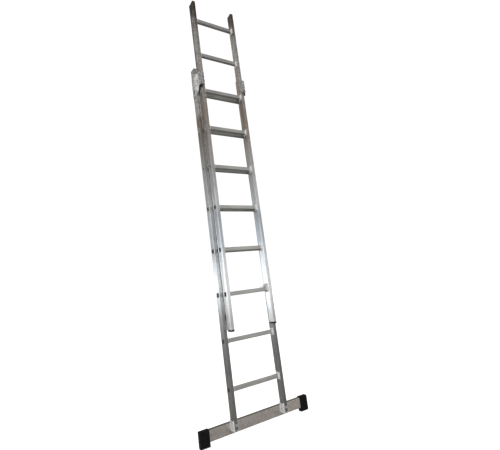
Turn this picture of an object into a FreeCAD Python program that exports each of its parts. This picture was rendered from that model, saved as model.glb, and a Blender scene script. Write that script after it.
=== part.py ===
import FreeCAD, Part
import math
import os

# Two-section extension ladder, standing upright. X runs across the rungs, Y from the climbing
# side (minus) to the wall side (plus) and Z up the stiles. The origin is on the floor under the
# foot caps, midway between the stiles and midway between the ladder's front and back.
# All lengths are in millimetres, all angles in degrees.

V = FreeCAD.Vector

# ---------------------------------------------------------------- driving dimensions

# rungs
RUNG_COUNT = 8
RUNG_PITCH = 280.0
FIRST_RUNG_HEIGHT = 272.0
RUNG_SIZE = 25.0
RUNG_CORNER = 4.0
RUNG_WALL = 1.8
FLUTE_COUNT = 5
FLUTE_SPACING = 3.6
FLUTE_WIDTH = 1.2
FLUTE_DEPTH = 0.5
COLLAR_RIM = 6.0
COLLAR_LENGTH = 10.0
COLLAR_EDGE = 1.2
END_LIP_RIM = 1.6
END_LIP_THICKNESS = 0.8

# stiles
STILE_DEPTH = 50.0
STILE_WIDTH = 22.5
STILE_CORNER = 2.5
STILE_WALL = 1.7
STILE_GROOVE_WIDTH = 5.0
STILE_GROOVE_DEPTH = 0.5
STILE_GROOVE_OFFSET = 17.5
BASE_WIDTH = 388.0
FLY_INSET = 26.5
FLY_LIP_WIDTH = 4.8
FLY_LIP_THICKNESS = 3.0
BASE_FOOT_ABOVE_BAR_BOTTOM = 32.0
BASE_TOP_OVERHANG = 182.0
FLY_BOTTOM_OVERHANG = 225.0
FLY_TOP_OVERHANG = 145.0
SECTION_GAP = 1.5

# rest position of the fly section, in rungs above the lowest one
FLY_STEPS_UP = 2

# end caps
END_CAP_THICKNESS = 5.0
FLY_FOOT_THICKNESS = 10.0
END_CAP_PLUG_DEPTH = 24.0
END_CAP_PLUG_CLEARANCE = 0.15
END_CAP_EDGE = 1.6
END_CAP_PLUG_WALL = 2.0

# stabiliser
BAR_LENGTH = 776.0
BAR_HEIGHT = 65.0
BAR_DEPTH = 25.0
BAR_CORNER = 3.0
BAR_WALL = 2.2
BAR_BORE_CORNER = 1.0
BAR_BOTTOM_HEIGHT = 25.0
BAR_CAP_LENGTH = 60.0
BAR_CAP_WALL = 4.0
BAR_CAP_EDGE = 3.0
BAR_CAP_POCKET = 54.0
TREAD_COUNT = 5
TREAD_WIDTH = 4.0
TREAD_DEPTH = 3.0

# side plates at the foot of the base section's stiles
PLATE_THICKNESS = 3.0
PLATE_SETBACK = 1.0
PLATE_BOTTOM_ABOVE_BAR_BOTTOM = 20.0
PLATE_HORN_ABOVE_BAR_TOP = 18.0
PLATE_NOTCH_ABOVE_BAR_TOP = 9.0

# fasteners
BOLT_DIAMETER = 8.0
BOLT_HEAD_ACROSS = 13.0
BOLT_HEAD_HEIGHT = 5.3
NUT_HEIGHT = 6.5
WASHER_DIAMETER = 16.0
WASHER_THICKNESS = 1.6
BOLT_TAIL = 3.0
CROSS_BOLT_ABOVE_STILE_END = 12.0
CROSS_BOLT_SPACING = 23.0
RIVET_DIAMETER = 4.8
RIVET_HEAD_DIAMETER = 9.5
RIVET_HEAD_HEIGHT = 1.8
RIVET_TAIL = 3.0

# top guides on the base section
GUIDE_SHEET = 3.0
GUIDE_SIDE_ROOM = 9.0
GUIDE_FRONT_ROOM = 3.0
GUIDE_LIP = 29.0
GUIDE_FLANGE_BELOW_RUNG = 36.0
GUIDE_FLANGE_ABOVE_RUNG = 114.0
GUIDE_FRONT_BOTTOM_ABOVE_RUNG = 32.0
GUIDE_FRONT_TOP_ABOVE_RUNG = 130.0
GUIDE_REAR_SETBACK = 4.0
GUIDE_WINDOW_ROOM = 3.5
GUIDE_WINDOW_CORNER = 6.0
GUIDE_RIVET_LOW_ABOVE_RUNG = 58.0
GUIDE_RIVET_HIGH_ABOVE_RUNG = 102.0
GUIDE_RIVET_FRONT_INSET = 12.0
GUIDE_RIVET_REAR_INSET = 5.0
PAD_SIDE_CLEARANCE = 2.0
PAD_FRONT_CLEARANCE = 0.8
PAD_RISE = 26.0
PAD_TOP_MARGIN = 12.0
PAD_REACH_BACK = 34.0
PAD_TOE_DROP = 22.0
PAD_TOE_WIDTH = 12.0
PAD_TOE_DEPTH = 6.0

# glide blocks behind the fly section's stiles
GLIDE_SIDE_CLEARANCE = 0.3
GLIDE_RUNG_CLEARANCE = 0.5
GLIDE_WIDTH = 19.0
GLIDE_HEIGHT = 40.0
GLIDE_CORNER = 1.5
GLIDE_ABOVE_PLUG = 30.0
GLIDE_SEAT_DEPTH = 0.5
GLIDE_SEAT_CLEARANCE = 0.2
GLIDE_RIVET_INSET = 10.0

# rung hooks
HOOK_PLATE = 4.0
HOOK_PLATE_FRONT = 10.0
HOOK_PLATE_REAR_SETBACK = 1.0
HOOK_PLATE_ABOVE_COLLAR = 1.0
HOOK_PLATE_TOP_ABOVE_PIVOT = 16.0
HOOK_PLATE_CORNER = 5.0
HOOK_THICKNESS = 8.0
HOOK_SIDE_CLEARANCE = 0.6
HOOK_PIVOT_DEPTH = 42.0
HOOK_PIVOT_ABOVE_RUNG = 23.0
HOOK_BOSS_RADIUS = 7.5
HOOK_PIN_DIAMETER = 8.0
HOOK_PIN_CLEARANCE = 0.05
HOOK_PIN_HEAD = 13.0
HOOK_PIN_HEAD_THICKNESS = 2.5
HOOK_SEAT_CLEARANCE = 0.3
HOOK_REAR_CLEARANCE = 1.3
HOOK_LIP_THICKNESS = 6.7
HOOK_LIP_DROP = 16.0
HOOK_ARM_HEIGHT = 7.5
HOOK_CORNER = 3.0
HOOK_RIVET_INSET = 8.0
STOP_GAP = 0.3
STOP_DEPTH = 5.0
STOP_HEIGHT = 6.0

# ---------------------------------------------------------------- derived positions

# distances from the front face of the fly section's stiles, before centring
guide_front = -(GUIDE_FRONT_ROOM + GUIDE_SHEET)
bolt_tail_back = (STILE_DEPTH + SECTION_GAP + STILE_DEPTH + BAR_DEPTH
                  + WASHER_THICKNESS + NUT_HEIGHT + BOLT_TAIL)
fly_front = -(guide_front + bolt_tail_back) / 2.0
fly_back = fly_front + STILE_DEPTH
base_front = fly_back + SECTION_GAP
base_back = base_front + STILE_DEPTH
bar_front = base_back
bar_back = bar_front + BAR_DEPTH
fly_rung_y = fly_front + STILE_DEPTH / 2.0
base_rung_y = base_front + STILE_DEPTH / 2.0

base_outer = BASE_WIDTH / 2.0
base_inner = base_outer - STILE_WIDTH
fly_outer = base_outer - FLY_INSET
fly_inner = fly_outer - STILE_WIDTH

last_rung_height = FIRST_RUNG_HEIGHT + (RUNG_COUNT - 1) * RUNG_PITCH
fly_lift = FLY_STEPS_UP * RUNG_PITCH
fly_first_rung = FIRST_RUNG_HEIGHT + fly_lift
fly_last_rung = last_rung_height + fly_lift
bar_bottom = BAR_BOTTOM_HEIGHT
bar_top = bar_bottom + BAR_HEIGHT
base_foot = bar_bottom + BASE_FOOT_ABOVE_BAR_BOTTOM
base_top = last_rung_height + BASE_TOP_OVERHANG - END_CAP_THICKNESS
fly_bottom = fly_first_rung - FLY_BOTTOM_OVERHANG + FLY_FOOT_THICKNESS
fly_top = fly_last_rung + FLY_TOP_OVERHANG - END_CAP_THICKNESS

nodes = {}


# ---------------------------------------------------------------- building blocks

def box(x0, x1, y0, y1, z0, z1):
    return Part.makeBox(x1 - x0, y1 - y0, z1 - z0, V(x0, y0, z0))


def prism(points, direction):
    wire = Part.makePolygon(points + [points[0]])
    return Part.Face(wire).extrude(direction)


def side_prism(outline, x0, x1):
    """Outline of (y, z) corners, swept along X from x0 to x1."""
    return prism([V(x0, y, z) for y, z in outline], V(x1 - x0, 0, 0))


def plan_prism(outline, z0, z1):
    """Outline of (x, y) corners, swept up from z0 to z1."""
    return prism([V(x, y, z0) for x, y in outline], V(0, 0, z1 - z0))


def rounded_bar(lo, hi, axis, radius):
    """Box from corner lo to corner hi whose four edges along the axis are rounded."""
    shape = Part.makeBox(hi.x - lo.x, hi.y - lo.y, hi.z - lo.z, lo)
    long_edges = []
    for edge in shape.Edges:
        run = edge.Vertexes[1].Point - edge.Vertexes[0].Point
        if abs(run.normalize().dot(axis)) > 0.99:
            long_edges.append(edge)
    return shape.makeFillet(radius, long_edges)


def cylinder(radius, start, direction, length):
    return Part.makeCylinder(radius, length, start, direction)


def hex_prism(across, start, direction, length):
    """Hexagonal prism of the given width across flats."""
    reach = across / math.sqrt(3.0)
    placement = FreeCAD.Placement(start, FreeCAD.Rotation(V(0, 0, 1), direction))
    corners = []
    for k in range(6):
        angle = math.radians(60.0 * k)
        corners.append(placement.multVec(V(reach * math.cos(angle), reach * math.sin(angle), 0)))
    step = V(direction).normalize() * length
    return prism(corners, step)


def mirrored(shape):
    return shape.mirror(V(0, 0, 0), V(1, 0, 0))


def rivet(start, direction, grip):
    """Blind rivet: domed head standing on the start point, shank running the other way."""
    inward = V(direction) * -1.0
    head = cylinder(RIVET_HEAD_DIAMETER / 2.0, start, direction, RIVET_HEAD_HEIGHT)
    rim = head.Edges
    outer = [e for e in rim if (e.CenterOfMass - start).dot(direction) > RIVET_HEAD_HEIGHT * 0.9]
    head = head.makeFillet(RIVET_HEAD_HEIGHT * 0.7, outer)
    return head.fuse(cylinder(RIVET_DIAMETER / 2.0, start, inward, grip))


def bolt(start, direction, grip):
    """Hexagon bolt with its washer: head on the start side, threaded tail past the grip."""
    outward = V(direction) * -1.0
    washer = cylinder(WASHER_DIAMETER / 2.0, start, outward, WASHER_THICKNESS)
    head = hex_prism(BOLT_HEAD_ACROSS, start + outward * WASHER_THICKNESS, outward, BOLT_HEAD_HEIGHT)
    tail = WASHER_THICKNESS + NUT_HEIGHT + BOLT_TAIL
    shank = cylinder(BOLT_DIAMETER / 2.0, start, direction, grip + tail)
    return washer.fuse([head, shank])


def nut(start, direction):
    """Hexagon nut with its washer, bored for the bolt."""
    washer = cylinder(WASHER_DIAMETER / 2.0, start, direction, WASHER_THICKNESS)
    body = hex_prism(BOLT_HEAD_ACROSS, start + V(direction) * WASHER_THICKNESS, direction, NUT_HEIGHT)
    bore = cylinder(BOLT_DIAMETER / 2.0, start, direction, WASHER_THICKNESS + NUT_HEIGHT)
    return washer.fuse(body).cut(bore)


def bolt_hole(start, direction, length):
    return cylinder(BOLT_DIAMETER / 2.0, start, direction, length)


def rivet_hole(start, direction, length):
    return cylinder(RIVET_DIAMETER / 2.0, start, direction, length)


# ---------------------------------------------------------------- rungs

def rung_blank(x0, x1, y, z, size, radius):
    half = size / 2.0
    return rounded_bar(V(x0, y - half, z - half), V(x1, y + half, z + half), V(1, 0, 0), radius)


def rounded_outline(x, y, z, size, radius):
    """Closed wire in the plane x: the rung's square outline at the given size."""
    section = rung_blank(x, x + 1.0, y, z, size, radius)
    return [f for f in section.Faces if abs(f.BoundBox.XMax - x) < 1e-6][0].OuterWire


def make_collar(side, face_x, y, z):
    """Flared end of the rung, widening from the tube to its seat on the stile's inner face."""
    wide_size = RUNG_SIZE + 2.0 * COLLAR_RIM
    wide_corner = RUNG_CORNER + COLLAR_RIM
    seat = face_x - COLLAR_EDGE
    narrow = rounded_outline(side * (face_x - COLLAR_LENGTH), y, z, RUNG_SIZE, RUNG_CORNER)
    wide = rounded_outline(side * seat, y, z, wide_size, wide_corner)
    cone = Part.makeLoft([narrow, wide], True, True)
    x0, x1 = sorted((side * seat, side * face_x))
    return cone.fuse(rung_blank(x0, x1, y, z, wide_size, wide_corner))


def make_rung(half_width, y, z):
    """Square fluted tube through both stiles, beaded against their inner and outer faces."""
    inner_face = half_width - STILE_WIDTH
    tube = rung_blank(-half_width, half_width, y, z, RUNG_SIZE, RUNG_CORNER)
    lip_size = RUNG_SIZE + 2.0 * END_LIP_RIM
    extras = []
    for side in (-1, 1):
        extras.append(make_collar(side, inner_face, y, z))
        outer = sorted((side * half_width, side * (half_width + END_LIP_THICKNESS)))
        extras.append(rung_blank(outer[0], outer[1], y, z, lip_size, RUNG_CORNER + END_LIP_RIM))
    tube = tube.fuse(extras)
    bore_size = RUNG_SIZE - 2.0 * RUNG_WALL
    end = half_width + END_LIP_THICKNESS
    bore = rung_blank(-end, end, y, z, bore_size, RUNG_CORNER - RUNG_WALL)
    tube = tube.cut(bore)
    flute_end = inner_face - COLLAR_LENGTH
    half = RUNG_SIZE / 2.0
    flutes = []
    for k in range(FLUTE_COUNT):
        offset = (k - (FLUTE_COUNT - 1) / 2.0) * FLUTE_SPACING
        a = offset - FLUTE_WIDTH / 2.0
        b = offset + FLUTE_WIDTH / 2.0
        for side in (-1, 1):
            lo, hi = sorted((side * half, side * (half - FLUTE_DEPTH)))
            flutes.append(box(-flute_end, flute_end, y + a, y + b, z + lo, z + hi))
            flutes.append(box(-flute_end, flute_end, y + lo, y + hi, z + a, z + b))
    return tube.cut(flutes)


def rung_passage(x0, x1, y, z):
    return rung_blank(x0, x1, y, z, RUNG_SIZE, RUNG_CORNER)


for section, half_width, rung_y, first in (
    ("base", base_outer, base_rung_y, FIRST_RUNG_HEIGHT),
    ("fly", fly_outer, fly_rung_y, fly_first_rung),
):
    lowest = make_rung(half_width, rung_y, first)
    for k in range(RUNG_COUNT):
        rung = lowest.copy()
        rung.translate(V(0, 0, k * RUNG_PITCH))
        nodes["%s_rung_%d" % (section, k + 1)] = rung


# ---------------------------------------------------------------- stiles

def make_stile(outer, front, z0, z1, first_rung):
    """Left stile: closed box tube with two shallow grooves down each side face."""
    x0 = -outer
    x1 = -outer + STILE_WIDTH
    back = front + STILE_DEPTH
    shape = rounded_bar(V(x0, front, z0), V(x1, back, z1), V(0, 0, 1), STILE_CORNER)
    middle = (front + back) / 2.0
    for offset in (-STILE_GROOVE_OFFSET, STILE_GROOVE_OFFSET):
        a = middle + offset - STILE_GROOVE_WIDTH / 2.0
        b = a + STILE_GROOVE_WIDTH
        shape = shape.cut(box(x0, x0 + STILE_GROOVE_DEPTH, a, b, z0, z1))
        shape = shape.cut(box(x1 - STILE_GROOVE_DEPTH, x1, a, b, z0, z1))
    cavity = rounded_bar(
        V(x0 + STILE_WALL + STILE_GROOVE_DEPTH, front + STILE_WALL, z0),
        V(x1 - STILE_WALL - STILE_GROOVE_DEPTH, back - STILE_WALL, z1),
        V(0, 0, 1), STILE_CORNER - STILE_WALL)
    shape = shape.cut(cavity)
    passages = [rung_passage(x0, x1, middle, first_rung + k * RUNG_PITCH) for k in range(RUNG_COUNT)]
    return shape.cut(passages)


base_stile = make_stile(base_outer, base_front, base_foot, base_top, FIRST_RUNG_HEIGHT)
fly_stile = make_stile(fly_outer, fly_front, fly_bottom, fly_top, fly_first_rung)

# The fly's stiles carry a lip along their outer rear edge that covers the joint to the base section.
fly_lip = box(-fly_outer - FLY_LIP_WIDTH, -fly_outer + STILE_WALL, fly_back - FLY_LIP_THICKNESS, fly_back,
              fly_bottom, fly_top)
lip_root = box(-fly_outer + STILE_WALL, -fly_outer + STILE_CORNER, fly_back - STILE_WALL, fly_back,
               fly_bottom, fly_top)
fly_stile = fly_stile.fuse([fly_lip, lip_root]).removeSplitter()


# ---------------------------------------------------------------- end caps

def make_end_cap(outer, front, z, up, thickness):
    """Plastic plug closing a stile end; up is 1 for a top end and -1 for a bottom end."""
    x0 = -outer
    x1 = -outer + STILE_WIDTH
    back = front + STILE_DEPTH
    z_lo, z_hi = sorted((z, z + up * thickness))
    plate = rounded_bar(V(x0, front, z_lo), V(x1, back, z_hi), V(0, 0, 1), STILE_CORNER)
    far = z + up * thickness
    rim = [e for e in plate.Edges if abs(e.BoundBox.ZMin - far) < 1e-4 and abs(e.BoundBox.ZMax - far) < 1e-4]
    plate = plate.makeFillet(END_CAP_EDGE, rim)
    inset_x = STILE_WALL + STILE_GROOVE_DEPTH + END_CAP_PLUG_CLEARANCE
    inset_y = STILE_WALL + END_CAP_PLUG_CLEARANCE
    p_lo, p_hi = sorted((z, z - up * END_CAP_PLUG_DEPTH))
    plug = rounded_bar(
        V(x0 + inset_x, front + inset_y, p_lo), V(x1 - inset_x, back - inset_y, p_hi),
        V(0, 0, 1), STILE_CORNER - STILE_WALL)
    wall_x = inset_x + END_CAP_PLUG_WALL
    wall_y = inset_y + END_CAP_PLUG_WALL
    hollow = box(x0 + wall_x, x1 - wall_x, front + wall_y, back - wall_y, p_lo, p_hi)
    return plate.fuse(plug.cut(hollow))


base_top_cap = make_end_cap(base_outer, base_front, base_top, 1, END_CAP_THICKNESS)
fly_top_cap = make_end_cap(fly_outer, fly_front, fly_top, 1, END_CAP_THICKNESS)
fly_bottom_cap = make_end_cap(fly_outer, fly_front, fly_bottom, -1, FLY_FOOT_THICKNESS)


# ---------------------------------------------------------------- stabiliser bar and foot caps

bar_end = BAR_LENGTH / 2.0
bar = rounded_bar(V(-bar_end, bar_front, bar_bottom), V(bar_end, bar_back, bar_top), V(1, 0, 0), BAR_CORNER)
bar_bore = rounded_bar(
    V(-bar_end, bar_front + BAR_WALL, bar_bottom + BAR_WALL),
    V(bar_end, bar_back - BAR_WALL, bar_top - BAR_WALL), V(1, 0, 0), BAR_BORE_CORNER)
bar = bar.cut(bar_bore)

cap_inner = bar_end - BAR_CAP_POCKET
cap_outer = cap_inner + BAR_CAP_LENGTH
cap_front = bar_front - BAR_CAP_WALL
cap_back = bar_back + BAR_CAP_WALL
cap_body = Part.makeBox(cap_outer - cap_inner, cap_back - cap_front, bar_top + BAR_CAP_WALL,
                        V(-cap_outer, cap_front, 0))
cap_body = cap_body.makeFillet(BAR_CAP_EDGE, cap_body.Edges)
pocket = rounded_bar(V(-bar_end, bar_front, bar_bottom), V(-cap_inner, bar_back, bar_top), V(1, 0, 0), BAR_CORNER)
foot_cap = cap_body.cut(pocket)
tread_pitch = (cap_outer - cap_inner) / (TREAD_COUNT + 1)
for k in range(TREAD_COUNT):
    x = -cap_outer + tread_pitch * (k + 1)
    foot_cap = foot_cap.cut(box(x - TREAD_WIDTH / 2.0, x + TREAD_WIDTH / 2.0, cap_front, cap_back, 0, TREAD_DEPTH))


# ---------------------------------------------------------------- side plates and bolts at the stabiliser

def make_side_plate(face_x, outward):
    """Plate on one side face of the left stile; outward is -1 for the outer face, 1 for the inner one."""
    near = base_front + PLATE_SETBACK
    middle = (near + base_back) / 2.0
    bottom = bar_bottom + PLATE_BOTTOM_ABOVE_BAR_BOTTOM
    horn = bar_top + PLATE_HORN_ABOVE_BAR_TOP
    notch = bar_top + PLATE_NOTCH_ABOVE_BAR_TOP
    x0, x1 = sorted((face_x, face_x + outward * PLATE_THICKNESS))
    outline = [(near, bottom), (base_back, bottom), (base_back, horn), (middle, notch), (near, horn)]
    return side_prism(outline, x0, x1)


outer_plate = make_side_plate(-base_outer, -1)
inner_plate = make_side_plate(-base_inner, 1)

cross_y = base_rung_y
cross_start = -base_outer - PLATE_THICKNESS
cross_grip = STILE_WIDTH + 2.0 * PLATE_THICKNESS
cross_bolts = []
cross_nuts = []
low_bolt = base_foot + CROSS_BOLT_ABOVE_STILE_END
for height in (low_bolt, low_bolt + CROSS_BOLT_SPACING):
    at = V(cross_start, cross_y, height)
    cross_bolts.append(bolt(at, V(1, 0, 0), cross_grip))
    cross_nuts.append(nut(at + V(cross_grip, 0, 0), V(1, 0, 0)))
    hole = bolt_hole(at, V(1, 0, 0), cross_grip)
    base_stile = base_stile.cut(hole)
    outer_plate = outer_plate.cut(hole)
    inner_plate = inner_plate.cut(hole)

# One long bolt runs through each stile, from front to back, and on through the bar.
bar_grip = STILE_DEPTH + BAR_DEPTH
bar_bolt_at = V(-(base_outer + base_inner) / 2.0, base_front, low_bolt + CROSS_BOLT_SPACING / 2.0)
bar_bolts = [bolt(bar_bolt_at, V(0, 1, 0), bar_grip)]
bar_nuts = [nut(bar_bolt_at + V(0, bar_grip, 0), V(0, 1, 0))]
bar_bolt_hole = bolt_hole(bar_bolt_at, V(0, 1, 0), bar_grip)
base_stile = base_stile.cut(bar_bolt_hole)
bar = bar.cut([bar_bolt_hole, mirrored(bar_bolt_hole)])


# ---------------------------------------------------------------- top guides

guide_side = fly_outer + GUIDE_SIDE_ROOM
guide_lip_front = fly_front - GUIDE_FRONT_ROOM - GUIDE_SHEET
guide_rear = base_back - GUIDE_REAR_SETBACK
joggle = base_outer - guide_side
bend = GUIDE_SHEET * math.tan(math.radians(22.5))
flange_bottom = last_rung_height - GUIDE_FLANGE_BELOW_RUNG
flange_top = last_rung_height + GUIDE_FLANGE_ABOVE_RUNG
front_bottom = last_rung_height + GUIDE_FRONT_BOTTOM_ABOVE_RUNG
front_top = last_rung_height + GUIDE_FRONT_TOP_ABOVE_RUNG
guide_plan = [
    (-base_outer, guide_rear),
    (-base_outer - GUIDE_SHEET, guide_rear),
    (-base_outer - GUIDE_SHEET, base_front - bend),
    (-guide_side - GUIDE_SHEET, base_front - bend - joggle),
    (-guide_side - GUIDE_SHEET, guide_lip_front),
    (-guide_side + GUIDE_LIP, guide_lip_front),
    (-guide_side + GUIDE_LIP, guide_lip_front + GUIDE_SHEET),
    (-guide_side, guide_lip_front + GUIDE_SHEET),
    (-guide_side, base_front - joggle),
    (-base_outer, base_front),
]
top_guide = plan_prism(guide_plan, flange_bottom, front_top)
guide_profile = [
    (guide_lip_front, front_bottom),
    (fly_rung_y, front_bottom),
    (base_front, flange_bottom),
    (guide_rear, flange_bottom),
    (guide_rear, flange_top),
    (base_front, front_top),
    (guide_lip_front, front_top),
]
top_guide = top_guide.common(side_prism(guide_profile, -base_outer - GUIDE_SHEET, 0))
window_size = RUNG_SIZE + 2.0 * (END_LIP_RIM + GUIDE_WINDOW_ROOM)
window = rung_blank(-base_outer - GUIDE_SHEET, -base_outer, base_rung_y, last_rung_height,
                    window_size, GUIDE_WINDOW_CORNER)
top_guide = top_guide.cut(window)

pad_inner = fly_outer + PAD_SIDE_CLEARANCE
pad_back = fly_front + PAD_REACH_BACK
pad_face = fly_front - PAD_FRONT_CLEARANCE
guide_pad = plan_prism([
    (-guide_side, pad_back),
    (-guide_side, guide_lip_front + GUIDE_SHEET),
    (-guide_side + GUIDE_LIP, guide_lip_front + GUIDE_SHEET),
    (-guide_side + GUIDE_LIP, pad_face),
    (-pad_inner, pad_face),
    (-pad_inner, pad_back),
], front_bottom + PAD_RISE, front_top - PAD_TOP_MARGIN)
pad_front = guide_lip_front + GUIDE_SHEET
pad_toe = plan_prism([
    (-guide_side, pad_front + PAD_TOE_DEPTH),
    (-guide_side, pad_front),
    (-guide_side + PAD_TOE_WIDTH, pad_front),
    (-guide_side + PAD_TOE_WIDTH, pad_face),
    (-pad_inner, pad_face),
    (-pad_inner, pad_front + PAD_TOE_DEPTH),
], front_bottom - PAD_TOE_DROP, front_bottom + PAD_RISE)
guide_pad = guide_pad.fuse(pad_toe).removeSplitter()

guide_rivets = []
rivet_x = -base_outer - GUIDE_SHEET
rivet_front_y = base_front + GUIDE_RIVET_FRONT_INSET
rivet_rear_y = guide_rear - GUIDE_RIVET_REAR_INSET - RIVET_DIAMETER / 2.0
for above in (GUIDE_RIVET_LOW_ABOVE_RUNG, GUIDE_RIVET_HIGH_ABOVE_RUNG):
    for y in (rivet_front_y, rivet_rear_y):
        at = V(rivet_x, y, last_rung_height + above)
        grip = GUIDE_SHEET + STILE_WALL + STILE_GROOVE_DEPTH + RIVET_TAIL
        guide_rivets.append(rivet(at, V(-1, 0, 0), grip))
        hole = rivet_hole(at, V(1, 0, 0), grip)
        top_guide = top_guide.cut(hole)
        base_stile = base_stile.cut(hole)


# ---------------------------------------------------------------- glide blocks of the fly section

glide_back = base_rung_y - RUNG_SIZE / 2.0 - COLLAR_RIM - GLIDE_RUNG_CLEARANCE
glide_outer = base_inner - GLIDE_SIDE_CLEARANCE
glide_bottom = fly_bottom + END_CAP_PLUG_DEPTH + GLIDE_ABOVE_PLUG
glide_top = glide_bottom + GLIDE_HEIGHT
glide_front = fly_back - GLIDE_SEAT_DEPTH
glide_block = rounded_bar(
    V(-glide_outer, glide_front, glide_bottom), V(-glide_outer + GLIDE_WIDTH, glide_back, glide_top),
    V(0, 1, 0), GLIDE_CORNER)
room = GLIDE_SEAT_CLEARANCE
glide_seat = rounded_bar(
    V(-glide_outer - room, glide_front, glide_bottom - room),
    V(-glide_outer + GLIDE_WIDTH + room, glide_back, glide_top + room),
    V(0, 1, 0), GLIDE_CORNER + room)
fly_stile = fly_stile.cut(glide_seat)

glide_rivets = []
glide_rivet_x = -(fly_outer + fly_inner) / 2.0
for z in (glide_bottom + GLIDE_RIVET_INSET, glide_top - GLIDE_RIVET_INSET):
    at = V(glide_rivet_x, glide_back, z)
    grip = glide_back - glide_front + STILE_WALL + RIVET_TAIL
    glide_rivets.append(rivet(at, V(0, 1, 0), grip))
    hole = rivet_hole(at, V(0, -1, 0), grip)
    glide_block = glide_block.cut(hole)
    fly_stile = fly_stile.cut(hole)


# ---------------------------------------------------------------- rung hooks

pivot_y = fly_front + HOOK_PIVOT_DEPTH
pivot_z = fly_first_rung + HOOK_PIVOT_ABOVE_RUNG
rung_top = fly_first_rung + RUNG_SIZE / 2.0
rung_back = base_rung_y + RUNG_SIZE / 2.0
rung_near = base_rung_y - RUNG_SIZE / 2.0
seat_z = rung_top + HOOK_SEAT_CLEARANCE
lip_near = rung_back + HOOK_REAR_CLEARANCE
lip_far = lip_near + HOOK_LIP_THICKNESS
arm_top = rung_top + HOOK_ARM_HEIGHT
lip_bottom = rung_top - HOOK_LIP_DROP

plate_x0 = -fly_inner
plate_x1 = plate_x0 + HOOK_PLATE
hook_x0 = plate_x1 + HOOK_SIDE_CLEARANCE
hook_x1 = hook_x0 + HOOK_THICKNESS

hook_outline = [
    (pivot_y, pivot_z + HOOK_BOSS_RADIUS),
    (rung_near, arm_top),
    (lip_far - HOOK_CORNER, arm_top),
    (lip_far, arm_top - HOOK_CORNER),
    (lip_far, lip_bottom),
    (lip_near + HOOK_CORNER, lip_bottom - HOOK_CORNER),
    (lip_near, lip_bottom),
    (lip_near, seat_z),
    (pivot_y, seat_z),
]
hook = side_prism(hook_outline, hook_x0, hook_x1)
hook = hook.fuse(cylinder(HOOK_BOSS_RADIUS, V(hook_x0, pivot_y, pivot_z), V(1, 0, 0), HOOK_THICKNESS))
hook = hook.cut(cylinder(HOOK_PIN_DIAMETER / 2.0 + HOOK_PIN_CLEARANCE, V(hook_x0, pivot_y, pivot_z),
                         V(1, 0, 0), HOOK_THICKNESS))
hook = hook.removeSplitter()

plate_near = fly_front + HOOK_PLATE_FRONT
plate_far = fly_back - HOOK_PLATE_REAR_SETBACK
plate_bottom = fly_first_rung + RUNG_SIZE / 2.0 + COLLAR_RIM + HOOK_PLATE_ABOVE_COLLAR
plate_top = pivot_z + HOOK_PLATE_TOP_ABOVE_PIVOT
stop_z = seat_z - STOP_GAP
plate_outline = [
    (plate_near, plate_bottom),
    (plate_far - STOP_DEPTH, plate_bottom),
    (plate_far - STOP_DEPTH, stop_z - STOP_HEIGHT),
    (plate_far, stop_z - STOP_HEIGHT),
    (plate_far, plate_top - HOOK_PLATE_CORNER),
    (plate_far - HOOK_PLATE_CORNER, plate_top),
    (plate_near + HOOK_PLATE_CORNER, plate_top),
    (plate_near, plate_top - HOOK_PLATE_CORNER),
]
hook_plate = side_prism(plate_outline, plate_x0, plate_x1)
stop_tab = box(plate_x0, hook_x1, plate_far - STOP_DEPTH, plate_far, stop_z - STOP_HEIGHT, stop_z)
hook_plate = hook_plate.fuse(stop_tab)

hook_pin_start = V(-fly_inner - STILE_WALL - STILE_GROOVE_DEPTH, pivot_y, pivot_z)
hook_pin_end = hook_x1 + HOOK_SIDE_CLEARANCE
hook_pin = cylinder(HOOK_PIN_DIAMETER / 2.0, hook_pin_start, V(1, 0, 0), hook_pin_end - hook_pin_start.x)
pin_head = cylinder(HOOK_PIN_HEAD / 2.0, V(hook_pin_end, pivot_y, pivot_z), V(1, 0, 0), HOOK_PIN_HEAD_THICKNESS)
head_rim = [e for e in pin_head.Edges if e.BoundBox.XMin > hook_pin_end + HOOK_PIN_HEAD_THICKNESS * 0.9]
pin_head = pin_head.makeFillet(HOOK_PIN_HEAD_THICKNESS * 0.5, head_rim)
hook_pin = hook_pin.fuse(pin_head)
pin_passage = cylinder(HOOK_PIN_DIAMETER / 2.0, hook_pin_start, V(1, 0, 0), plate_x1 - hook_pin_start.x)
hook_plate = hook_plate.cut(pin_passage)
fly_stile = fly_stile.cut(pin_passage)

hook_rivets = []
for y in (plate_near + HOOK_RIVET_INSET, pivot_y - HOOK_PIN_HEAD / 2.0 - HOOK_RIVET_INSET):
    at = V(plate_x1, y, (plate_bottom + plate_top) / 2.0)
    grip = HOOK_PLATE + STILE_WALL + STILE_GROOVE_DEPTH + RIVET_TAIL
    hook_rivets.append(rivet(at, V(1, 0, 0), grip))
    hole = rivet_hole(at, V(-1, 0, 0), grip)
    hook_plate = hook_plate.cut(hole)
    fly_stile = fly_stile.cut(hole)


# ---------------------------------------------------------------- assembly

for name, shape in (
    ("base_%s_stile", base_stile),
    ("base_%s_top_cap", base_top_cap),
    ("fly_%s_stile", fly_stile),
    ("fly_%s_top_cap", fly_top_cap),
    ("fly_%s_bottom_cap", fly_bottom_cap),
    ("%s_foot_cap", foot_cap),
    ("%s_outer_plate", outer_plate),
    ("%s_inner_plate", inner_plate),
    ("%s_top_guide", top_guide),
    ("%s_guide_pad", guide_pad),
    ("%s_glide_block", glide_block),
    ("%s_hook_plate", hook_plate),
    ("%s_hook_pin", hook_pin),
    ("%s_rung_hook", hook),
):
    nodes[name % "left"] = shape
    nodes[name % "right"] = mirrored(shape)

nodes["stabiliser_bar"] = bar

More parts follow.
